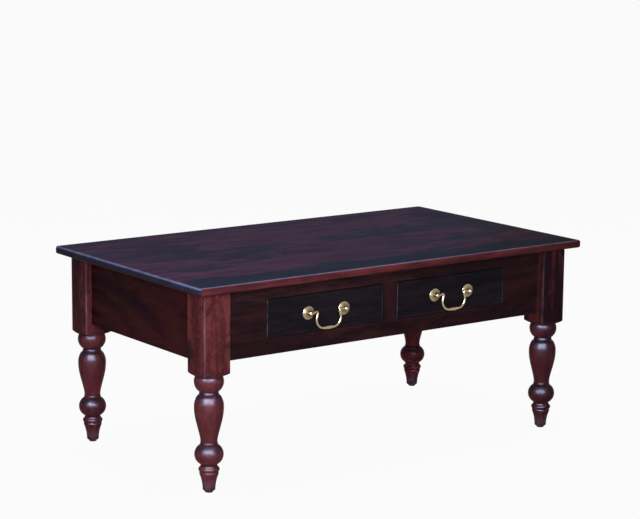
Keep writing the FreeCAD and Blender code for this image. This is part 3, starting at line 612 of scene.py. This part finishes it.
def drawer_wood(name, woods, grain, gain, node):
    """Dark wood of a drawer front: a painted highlight along its ends and foot, and painted shade along
    its head.
    """
    material, shader, flow = new_material(name)
    figure = wood_figure(flow, grain)
    low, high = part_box(node)
    along, _, height = figure.place.parts()
    sides = 1.0 - (along - low.x).maths("MINIMUM", high.x - along).ramp(*SIDE_HIGHLIGHT)
    foot = 1.0 - (height - low.z).ramp(*FOOT_HIGHLIGHT)
    head = 1.0 - (high.z - height).ramp(*HEAD_SHADE)
    # Painted highlight on the rounded ends and foot; painted shadow along the head
    highlit = sides.maths("MAXIMUM", foot * 0.35) * (figure.mottle * 0.8 + 0.1)
    tint = grain_tint(figure, woods.drawer_dark, woods.drawer_light, gain)
    tint = (highlit * 0.5).mix(tint, opaque(woods.highlit))
    tint = (head * 0.7).mix(tint, opaque(woods.drawer_dark, 0.5))
    finish_wood(flow, shader, tint, figure, DRAWER_LACQUER)
    return material


# Where the painted shade round a post is full and where it has gone, and how far apart and how deep
# the turning marks of the rosettes are, in metres
POST_SHADE = (0.003, 0.015)
MARK_PITCH = 0.0007
MARK_DEPTH = 0.00004


def brass(name, metals, posts=(), gain=1.0):
    """Satin brass, brown in patches where the polish has gone; round two posts it is brown with painted
    shade and has turning marks.
    """
    material, shader, flow = new_material(name)
    place = flow.coordinates()
    tarnish_and_shade = place.noise((90.0, 90.0, 90.0), 2.0, 0.5).ramp(0.45, 0.80) * 0.35
    if posts:
        left, right = (place.apart(post, (1.0, 0.0, 1.0)) for post in posts)
        nearest = left.maths("MINIMUM", right)
        # Painted shade: brown round each post, where the post's shadow and reflection fall on the rosette
        tarnish_and_shade = tarnish_and_shade.maths("MAXIMUM", 1.0 - nearest.ramp(*POST_SHADE))
        turns = nearest * (2.0 * math.pi / MARK_PITCH)
        marks = {"Strength": 1.0, "Distance": MARK_DEPTH, "Height": turns.maths("SINE")}
        feed(flow, shader, Normal=flow.node("ShaderNodeBump", None, marks))
    scratch = place.noise((900.0, 220.0, 900.0), 2.0)
    tint = (tarnish_and_shade * 0.8).mix(opaque(metals.brass, gain), opaque(metals.brown_brass))
    rough = tarnish_and_shade * 0.14 + (scratch - 0.5) * 0.06 + metals.brass_roughness
    feed(flow, shader, Base_Color=tint, Metallic=1.0, Roughness=rough)
    feed(flow, shader, Specular_Tint=opaque(metals.brown_brass))
    return material


def steel(name, metals):
    """Plated steel with fine marks in its gloss."""
    material, shader, flow = new_material(name)
    place = flow.coordinates()
    marks = place.noise((700.0, 700.0, 700.0), 2.0)
    feed(flow, shader, Base_Color=opaque(metals.steel), Metallic=1.0, Roughness=marks * 0.2 + 0.28)
    return material


def glide_plastic(name, metals):
    """Dull dark plastic."""
    material, shader, flow = new_material(name)
    place = flow.coordinates()
    scuff = place.noise((300.0, 300.0, 300.0), 3.0)
    feed(flow, shader, Base_Color=opaque(metals.glide), Roughness=scuff * 0.3 + 0.45)
    feed(flow, shader, Specular_IOR_Level=0.2)
    return material


def paint(material, *nodes):
    """Gives CAD nodes one material."""
    for node in nodes:
        mesh = FRAME["nodes"][node].data
        mesh.materials.clear()
        mesh.materials.append(material)


def face_rows(node, kind):
    """Normals or middles of the faces of a CAD node, as rows of three numbers."""
    faces = FRAME["nodes"][node].data.polygons
    rows = np.empty(3 * len(faces), np.float32)
    faces.foreach_get(kind, rows)
    return rows.reshape(-1, 3)


def paint_faces(material, node, chosen):
    """Adds a material to a CAD node, for the faces that are chosen."""
    mesh = FRAME["nodes"][node].data
    mesh.materials.append(material)
    slots = np.empty(len(mesh.polygons), np.int32)
    mesh.polygons.foreach_get("material_index", slots)
    slots[chosen] = len(mesh.materials) - 1
    mesh.polygons.foreach_set("material_index", slots)
    mesh.update()


# Surfaces of the handles


# How finely they are made: points on a rounded corner, rings along a bail and points of each ring,
# points up the dome of a rosette and round it
ARC_POINTS = 33
BAIL_RINGS = 193
BAIL_SIDES = 24
DOME_POINTS = 29
ROSETTE_SIDES = 64


def unit(rows):
    """Vectors of length 1 along the last axis of an array."""
    return rows / np.linalg.norm(rows, axis=-1, keepdims=True)


def rounded_path(points, shares, stations):
    """Places evenly spaced along straight runs whose corners are rounded.

    Each arc starts and ends at a share of the shorter run from its corner. It is the mean of its start,
    corner and end with weights (1 - t)^2, 2 w t (1 - t) and t^2, where w is the sine of half the angle
    at the corner.
    """
    corners = points[1:-1]
    back, ahead = points[:-2] - corners, points[2:] - corners
    runs = np.minimum(np.linalg.norm(back, axis=1), np.linalg.norm(ahead, axis=1))
    reach = (np.asarray(shares) * runs)[:, None]
    cosine = np.sum(unit(back) * unit(ahead), axis=1)
    t = np.linspace(0.0, 1.0, ARC_POINTS)[None, :, None]
    first, last = (1.0 - t) ** 2, t**2
    between = 2.0 * np.sqrt((1.0 - cosine) / 2.0)[:, None, None] * t * (1.0 - t)
    start, end = corners + unit(back) * reach, corners + unit(ahead) * reach
    arcs = first * start[:, None] + between * corners[:, None] + last * end[:, None]
    arcs = arcs / (first + between + last)
    path = np.concatenate((points[:1], arcs.reshape(-1, 2), points[-1:]))
    steps = np.linalg.norm(np.diff(path, axis=0), axis=1)
    travel = np.concatenate(([0.0], np.cumsum(steps)))
    even = np.linspace(0.0, travel[-1], stations)
    return np.stack([np.interp(even, travel, path[:, axis]) for axis in (0, 1)], axis=1), even


def skin(rings):
    """Corners and faces of a closed surface through rings of points: a grid of four-sided walls
    by station and turn, and a fan round the mean of the ring at each end.
    """
    stations, around, _ = rings.shape
    ends = rings[[0, -1]].mean(axis=1)
    station, turn = np.meshgrid(np.arange(stations - 1), np.arange(around), indexing="ij")
    here = station * around + turn
    beside = station * around + (turn + 1) % around
    walls = np.stack((here, beside, beside + around, here + around), axis=-1).reshape(-1, 4)
    turn = np.arange(around)
    beside = (turn + 1) % around
    first = np.stack((np.full(around, stations * around), beside, turn), axis=-1)
    shift = (stations - 1) * around
    last = np.stack((np.full(around, stations * around + 1), shift + turn, shift + beside), axis=-1)
    return np.concatenate((rings.reshape(-1, 3), ends)), walls.tolist() + first.tolist() + last.tolist()


def brass_piece(name, surfaces, material, body, node):
    """Makes a smooth brass piece of closed surfaces, which rides on a body and stands for a CAD node."""
    corners, faces, count = [], [], 0
    for places, sides in surfaces:
        corners.append(places)
        faces += [[count + corner for corner in side] for side in sides]
        count += len(places)
    mesh = bpy.data.meshes.new(name)
    mesh.from_pydata(np.concatenate(corners).tolist(), [], faces)
    mesh.shade_smooth()
    mesh.materials.append(material)
    piece = bpy.data.objects.new(name, mesh)
    bpy.context.scene.collection.objects.link(piece)
    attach(piece, body)
    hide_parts(node)


# Corners of half a bail from its pin to its grip, as shares of half its width and of its drop,
# and how far the rounding of the inner ones reaches along the shorter run
BAIL_POINTS = ((1.0, 0.0), (0.833, 0.0), (0.5625, 0.193), (0.821, -1.0))
BAIL_ROUNDINGS = (0.44, 0.68, 0.60)


def bail_rings(low, high, hinge, sizes):
    """Rings of a bail: a circle carried along its path in the plane of the hinge.

    The circle has the radius of the wire, swells at the grip by the squared cosine of the travel from
    the middle, and is smaller on the pins.
    """
    half, drop = (high.x - low.x) / 2, hinge[2] - low.z - sizes.grip
    right = np.array(BAIL_POINTS) * (half, drop)
    points = np.concatenate((right * (-1.0, 1.0), right[::-1]))
    path, travel = rounded_path(points, BAIL_ROUNDINGS + BAIL_ROUNDINGS[::-1], BAIL_RINGS)
    along = unit(np.gradient(path, axis=0))
    middle = np.clip((travel - travel[-1] / 2) / sizes.grip_length, -0.5, 0.5)
    radius = sizes.wire + (sizes.grip - sizes.wire) * np.cos(np.pi * middle) ** 2
    ends = np.minimum(travel, travel[-1] - travel)
    radius = np.where(ends < sizes.pin_length, sizes.pin, radius)[:, None]
    angle = np.linspace(0.0, 2.0 * np.pi, BAIL_SIDES, endpoint=False)[None, :]
    out, across = radius * np.cos(angle), radius * np.sin(angle)
    x = hinge[0] + path[:, :1] + along[:, 1:] * out
    z = hinge[2] + path[:, 1:] - along[:, :1] * out
    return np.stack((x, hinge[1] + across, z), axis=-1)


# Outline of a rosette's rim, as shares of its radius and of the rim's thickness, and the share of the
# radius that its dome takes up
ROSETTE_RIM = ((0.97, 0.0), (1.0, 0.3), (1.0, 0.7))
DOME_SHARE = 0.8


def rosette_rings(x, z, face, height, radius, rim):
    """Rings of a rosette: a quarter of a sine wave from its rim up to its middle, round the post."""
    rise = np.linspace(0.0, 1.0, DOME_POINTS)
    inwards = radius * (1.0 - DOME_SHARE * rise)
    upwards = rim + (height - rim) * np.sin(rise * np.pi / 2)
    dome = np.stack((inwards, upwards), axis=1)
    outline = np.concatenate((np.array(ROSETTE_RIM) * (radius, rim), dome[1:]))
    angle = np.linspace(0.0, 2.0 * np.pi, ROSETTE_SIDES, endpoint=False)[None, :]
    span, standing = outline[:, :1], outline[:, 1:]
    places = (x + span * np.cos(angle), face - standing + 0.0 * angle, z + span * np.sin(angle))
    return np.stack(places, axis=-1)


# Operators


class TABLE_OT_top(bpy.types.Operator):
    """Dresses the boards of the top."""

    bl_idname = "table.top"
    bl_label = "Top boards"

    # A face is on an edge below this share of its normal along Z, and on an end from this share along X
    EDGE_BELOW = 0.985
    END_FROM = 0.17

    def execute(self, context):
        woods = context.scene.table_woods
        long_edge = Edge(woods.edge_dark, woods.edge_light, highlight_depth=0.0022, highlight_strength=0.6, foot=0.0015)
        end_edge = Edge(woods.end_reflection_dark, woods.end_reflection_light, highlight_depth=0.0048, highlight_strength=0.48, foot=0.0080)
        for number in range(1, TOP_BOARD_COUNT + 1):
            node = f"top_board_{number}"
            tilt = 0.012 * (-1) ** number
            grain = Grain("X", seed=1.3 * number, tilt=tilt, sway=0.06, bands=11.0)
            shares = np.abs(face_rows(node, "normal"))
            edge = edge_wood(f"{node}_edge_wood", woods, long_edge, grain, node)
            end = edge_wood(f"{node}_end_wood", woods, end_edge, grain, node)
            paint(top_wood(f"{node}_wood", woods, grain), node)
            paint_faces(edge, node, shares[:, 2] < self.EDGE_BELOW)
            paint_faces(end, node, shares[:, 0] >= self.END_FROM)
        return {"FINISHED"}


class TABLE_OT_legs(bpy.types.Operator):
    """Dresses the turned legs and their glides."""

    bl_idname = "table.legs"
    bl_label = "Legs and glides"

    def execute(self, context):
        woods = context.scene.table_woods
        pad = glide_plastic("glide_plastic", context.scene.table_metals)
        for number, place in enumerate(LEG_NAMES):
            node = f"leg_{place}"
            grain = Grain("Z", seed=20.0 + 2.1 * number, sway=0.03, bands=16.0)
            turning = leg_wood(f"{node}_turning_wood", woods, grain, place, TURNING_LACQUER)
            block = leg_wood(f"{node}_block_wood", woods, grain, place, BLOCK_LACQUER)
            paint(turning, node)
            paint_faces(block, node, face_rows(node, "center")[:, 2] > BLOCK_HEIGHT)
            paint(pad, f"glide_{place}")
        return {"FINISHED"}


class TABLE_OT_aprons(bpy.types.Operator):
    """Dresses aprons, rails and stiles."""

    bl_idname = "table.aprons"
    bl_label = "Aprons, rails and stiles"

    def execute(self, context):
        woods = context.scene.table_woods
        low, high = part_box("apron_left")
        middle = (low.z + high.z) / 2
        aprons = {
            "apron_left": (
                Grain("Y", seed=40.0, tilt=0.05, sway=0.12),
                Rings(
                    middle=(0.0, high.y, low.z),
                    shares=(0.0, 0.345, 1.0),
                    plain_middle=(0.0, low.y, low.z),
                    plain_halves=(0.0, 0.26, 0.15),
                ),
            ),
            "apron_right": (
                Grain("Y", seed=43.0, tilt=-0.04, sway=0.12),
                Rings(
                    middle=(0.0, 0.05, low.z - 0.08),
                    shares=(0.0, 0.22, 1.0),
                    plain_middle=(0.0, high.y, middle),
                    plain_halves=(0.0, 0.10, 0.10),
                ),
            ),
            "apron_back": (
                Grain("X", seed=46.0, tilt=0.03, sway=0.12),
                Rings(
                    middle=(-0.15, 0.0, low.z - 0.02),
                    shares=(0.12, 0.0, 1.0),
                    plain_middle=(0.30, 0.0, middle),
                    plain_halves=(0.14, 0.0, 0.08),
                ),
            ),
        }
        for node, (grain, rings) in aprons.items():
            paint(apron_wood(f"{node}_wood", woods, grain, rings), node)
        stains = (woods.rail_dark, woods.rail_light)
        boards = {
            "front_top_rail": (Grain("X", seed=48.4), 1.35, RAIL_SHADES["top"]),
            "front_bottom_rail": (
                Grain("X", seed=52.0, sway=0.15, bands=16.0),
                1.0,
                RAIL_SHADES["bottom"],
            ),
            "front_stile_left": (Grain("X", seed=55.0), 1.1, ()),
            "front_stile_centre": (Grain("Z", seed=58.0, tilt=0.03, sway=0.12, bands=18.0), 1.1, ()),
            "front_stile_right": (Grain("X", seed=61.0), 1.05, ()),
        }
        for node, (grain, gain, shades) in boards.items():
            paint(wood(f"{node}_wood", stains, grain, gain, RAIL_LACQUER, shades), node)
        return {"FINISHED"}


class TABLE_OT_drawers(bpy.types.Operator):
    """Dresses the drawers: dark fronts and bare boxes."""

    bl_idname = "table.drawers"
    bl_label = "Drawers"

    FRONT_GAINS = {"left": 1.2, "right": 0.95}
    BOX_GRAINS = {"side_left": "Y", "side_right": "Y", "back": "X", "bottom": "X"}

    def execute(self, context):
        woods = context.scene.table_woods
        screws = steel("drawer_steel", context.scene.table_metals)
        for number, side in enumerate(DRAWER_NAMES):
            drawer = f"drawer_{side}"
            node = f"{drawer}_front"
            grain = Grain("X", seed=70.0 + 5.0 * number, tilt=0.03, sway=0.10)
            paint(drawer_wood(f"{node}_wood", woods, grain, self.FRONT_GAINS[side], node), node)
            for board, (piece, axis) in enumerate(self.BOX_GRAINS.items()):
                node = f"{drawer}_{piece}"
                grain = Grain(axis, seed=80.0 + 9.0 * number + 2.0 * board)
                paint(bare_wood(f"{node}_wood", woods, grain), node)
            paint(screws, f"{drawer}_bottom_screws", f"{drawer}_handle_nuts")
        return {"FINISHED"}


class TABLE_OT_handles(bpy.types.Operator):
    """Makes the brass bails and rosettes and dresses the posts."""

    bl_idname = "table.handles"
    bl_label = "Handles"

    ROSETTE_GAIN = 0.85

    def execute(self, context):
        metals, sizes = context.scene.table_metals, context.scene.table_handles
        metal = brass("handle_brass", metals)
        hinges = {row["child"]: row["pos_m"] for row in FRAME["joints"] if row["type"] == "hinge"}
        for side in DRAWER_NAMES:
            drawer, bail = f"drawer_{side}", f"bail_{side}"
            hinge = hinges[bail]
            low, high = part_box(bail)
            wire = skin(bail_rings(low, high, hinge, sizes))
            brass_piece(f"{bail}_wire", [wire], metal, bail, bail)
            low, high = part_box(f"{drawer}_rosettes")
            radius, height = (high.z - low.z) / 2, high.y - low.y
            posts = [(x, 0.0, hinge[2]) for x in (low.x + radius, high.x - radius)]
            rings = [rosette_rings(x, z, high.y, height, radius, sizes.rim) for x, _, z in posts]
            plates = [skin(rows) for rows in rings]
            plate_brass = brass(f"{drawer}_rosette_brass", metals, posts, self.ROSETTE_GAIN)
            brass_piece(f"{drawer}_rosette_plates", plates, plate_brass, drawer, f"{drawer}_rosettes")
            paint(metal, f"{drawer}_handle_posts")
        return {"FINISHED"}


class TABLE_OT_carcase(bpy.types.Operator):
    """Dresses what is hidden under the top: drawer strips, stops, corner blocks, buttons and screws."""

    bl_idname = "table.carcase"
    bl_label = "Carcase"

    STRIPS = ("runner", "guide", "kicker")
    STRIP_PLACES = ("left", "centre", "right")

    def execute(self, context):
        woods = context.scene.table_woods
        strips = [f"{strip}_{place}" for strip in self.STRIPS for place in self.STRIP_PLACES]
        for number, node in enumerate(strips):
            grain = Grain("Y", seed=110.0 + 1.7 * number)
            paint(bare_wood(f"{node}_wood", woods, grain, gain=0.9), node)
        blocks = [f"corner_block_{place}" for place in LEG_NAMES] + ["drawer_stops", "top_buttons"]
        for number, node in enumerate(blocks):
            grain = Grain("X", seed=130.0 + 1.9 * number)
            paint(bare_wood(f"{node}_wood", woods, grain, gain=0.85), node)
        screws = steel("carcase_steel", context.scene.table_metals)
        paint(screws, "corner_block_screws", "top_button_screws")
        return {"FINISHED"}


class Lamp(NamedTuple):
    """A soft rectangular lamp: the pieces that it is for, whether it lights them and shows in gloss."""

    place: tuple
    size: tuple
    power: float
    tint: tuple
    pieces: list
    lights: bool = True
    shines: bool = True


class TABLE_OT_stage(bpy.types.Operator):
    """Sets the camera, the floor, the lamps and the world."""

    bl_idname = "table.stage"
    bl_label = "Stage"

    FLOOR_HALF = 40.0
    # Share of plain white in the floor as it is seen; the rest is its paint in the lamps' light
    WHITE_SHARE = 0.95
    SENSOR_WIDTH = 36.0
    LAMP_AIM = Vector((0.0, 0.0, 0.25))
    WHITE = (1.0, 1.0, 1.0, 1.0)
    COOL = (0.86, 0.93, 1.0)
    SKY = (0.64, 0.80, 1.0)
    BLUE = (0.55, 0.68, 1.0)
    DEEP_BLUE = (0.25, 0.42, 1.0)

    def execute(self, context):
        stage = context.scene.table_stage
        context.scene.view_settings.view_transform = "Standard"
        table = [piece for piece in bpy.data.objects if piece.type == "MESH"]
        self.set_camera(context, stage)
        floor = self.set_floor(context, stage)
        self.set_world(context, stage)
        for name, lamp in self.lamps(stage, table, floor).items():
            self.set_lamp(context, name, lamp)
        return {"FINISHED"}

    def lamps(self, stage, table, floor):
        """The lamps by name: windows for the whole table, panels for the gloss of some pieces."""
        legs = [FRAME["nodes"][f"leg_{place}"] for place in LEG_NAMES]
        boards = [FRAME["nodes"][f"top_board_{number}"] for number in range(1, TOP_BOARD_COUNT + 1)]
        handles = [piece for piece in table if piece.name.endswith(BRASS_ENDINGS)]
        window, gloss = stage.window_power, stage.gloss_power
        pane, panel = (1.0, 1.1), (1.8, 1.6)
        left, right = (-1.903, -2.189, 0.95), (-1.494, -2.486, 0.95)
        back, side = (1.13, 2.67, 0.55), (2.22, 1.86, 0.55)
        high_left, high_right = (-2.52, -1.44, 1.90), (-1.00, -2.72, 1.90)
        above, behind = (-0.4, -0.5, 2.6), (0.8, 2.3, 1.42)
        return {
            "floor_light": Lamp((0.0, 0.0, 4.0), (3.0, 3.0), 2.4 * window, self.COOL, [floor]),
            "window_left": Lamp(left, pane, 0.85 * window, self.COOL, table),
            "window_right": Lamp(right, pane, 1.1 * window, self.COOL, table),
            "window_back": Lamp(back, pane, window, self.COOL, table, shines=False),
            "window_side": Lamp(side, pane, window, self.COOL, table, shines=False),
            "sky": Lamp((-1.35, -1.00, 1.05), (1.0, 1.0), stage.sky_power, self.SKY, boards),
            "gloss_left": Lamp(high_left, panel, 1.2 * gloss, self.BLUE, legs, lights=False),
            "gloss_right": Lamp(high_right, panel, gloss, self.BLUE, legs, lights=False),
            "gloss_high": Lamp(above, (2.5, 2.5), 0.10 * gloss, self.BLUE, legs, lights=False),
            "glint": Lamp(high_left, (1.3, 1.3), 0.085 * gloss, self.COOL, handles, lights=False),
            "sheen": Lamp(behind, (2.9, 1.1), 0.0040 * gloss, self.DEEP_BLUE, boards, lights=False),
        }

    def set_camera(self, context, stage):
        """Adds the camera at its place, turned to its aim and rolled."""
        camera = bpy.data.objects.new("camera", bpy.data.cameras.new("camera"))
        context.scene.collection.objects.link(camera)
        camera.data.lens = stage.lens
        camera.data.sensor_width = self.SENSOR_WIDTH
        place = Vector(stage.camera_place)
        look = (Vector(stage.camera_aim) - place).to_track_quat("-Z", "Y")
        turn = look.to_matrix() @ Matrix.Rotation(stage.camera_roll, 3, "Z")
        camera.matrix_world = Matrix.Translation(place) @ turn.to_4x4()
        context.scene.camera = camera

    def set_floor(self, context, stage):
        """Adds a wide floor that is seen as white with the table's shadow."""
        half = self.FLOOR_HALF
        mesh = bpy.data.meshes.new("floor")
        corners = [(-half, -half, 0.0), (half, -half, 0.0), (half, half, 0.0), (-half, half, 0.0)]
        mesh.from_pydata(corners, [], [(0, 1, 2, 3)])
        floor = bpy.data.objects.new("floor", mesh)
        context.scene.collection.objects.link(floor)
        material, shader, flow = new_material("floor_paint")
        feed(flow, shader, Base_Color=opaque(stage.floor), Roughness=1.0, Specular_IOR_Level=0.0)
        white = flow.node("ShaderNodeEmission", None, {"Color": self.WHITE, "Strength": 1.0})
        matt = Flow(flow.tree, shader.outputs[0])
        factor = self.seen(flow) * self.WHITE_SHARE
        blend = flow.node("ShaderNodeMixShader", None, {0: factor, 1: matt, 2: white})
        flow.tree.links.new(blend.socket, flow.tree.nodes["Material Output"].inputs["Surface"])
        mesh.materials.append(material)
        return floor

    def seen(self, flow):
        """1 for rays that show the background: from the camera, mirrored or through glass."""
        rays = ("Is Camera Ray", "Is Glossy Ray", "Is Transmission Ray")
        camera, glossy, through = (flow.node("ShaderNodeLightPath", None, None, ray) for ray in rays)
        total = camera + glossy + through
        return total.maths("MINIMUM", 1.0)

    def set_world(self, context, stage):
        """Sets a world that is seen as white and lights weakly, least from above."""
        world = bpy.data.worlds.new("studio")
        world.use_nodes = True
        context.scene.world = world
        flow = Flow(world.node_tree)
        height = flow.coordinates("Generated").parts()[2]
        even = (1.0 - height.ramp(0.0, 0.8) * 0.7) * stage.ambient
        background = world.node_tree.nodes["Background"]
        background.inputs["Color"].default_value = self.WHITE
        strength = self.seen(flow) * (1.0 - even) + even
        flow.tree.links.new(strength.socket, background.inputs["Strength"])

    def set_lamp(self, context, name, lamp):
        """Adds an area lamp and links it to its pieces."""
        light = bpy.data.lights.new(name, "AREA")
        light.shape = "RECTANGLE"
        light.size, light.size_y = lamp.size
        light.energy = lamp.power
        light.color = lamp.tint
        holder = bpy.data.objects.new(name, light)
        holder.visible_camera = False
        holder.visible_diffuse = lamp.lights
        holder.visible_glossy = lamp.shines
        context.scene.collection.objects.link(holder)
        place = Vector(lamp.place)
        turn = (self.LAMP_AIM - place).to_track_quat("-Z", "Y").to_matrix().to_4x4()
        holder.matrix_world = Matrix.Translation(place) @ turn
        group = bpy.data.collections.new(f"{name}_pieces")
        for piece in lamp.pieces:
            group.objects.link(piece)
        holder.light_linking.receiver_collection = group


OPERATORS = (
    TABLE_OT_top,
    TABLE_OT_legs,
    TABLE_OT_aprons,
    TABLE_OT_drawers,
    TABLE_OT_handles,
    TABLE_OT_carcase,
    TABLE_OT_stage,
)


class TABLE_PT_sidebar(bpy.types.Panel):
    """Lists the table's values and operators."""

    bl_idname = "TABLE_PT_sidebar"
    bl_label = "Coffee table"
    bl_space_type = "VIEW_3D"
    bl_region_type = "UI"
    bl_category = "Table"

    def draw(self, context):
        scene = context.scene
        for key in GROUPS:
            group = getattr(scene, key)
            box = self.layout.box()
            for name in group.bl_rna.properties.keys():
                if name not in ("rna_type", "name"):
                    box.prop(group, name)
        for operator in OPERATORS:
            self.layout.operator(operator.bl_idname)


GROUPS = {
    "table_woods": TableWoods,
    "table_handles": TableHandles,
    "table_metals": TableMetals,
    "table_stage": TableStage,
}
CLASSES = (*GROUPS.values(), *OPERATORS, TABLE_PT_sidebar)


def register():
    """Registers the classes and hangs the property groups on the scene."""
    for cls in CLASSES:
        bpy.utils.register_class(cls)
    for name, group in GROUPS.items():
        setattr(bpy.types.Scene, name, PointerProperty(type=group))


def unregister():
    """Takes back what register does."""
    for name in GROUPS:
        delattr(bpy.types.Scene, name)
    for cls in reversed(CLASSES):
        bpy.utils.unregister_class(cls)


def main():
    """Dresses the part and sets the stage."""
    register()
    bpy.ops.table.top()
    bpy.ops.table.legs()
    bpy.ops.table.aprons()
    bpy.ops.table.drawers()
    bpy.ops.table.handles()
    bpy.ops.table.carcase()
    bpy.ops.table.stage()


if __name__ == "__main__":
    main()
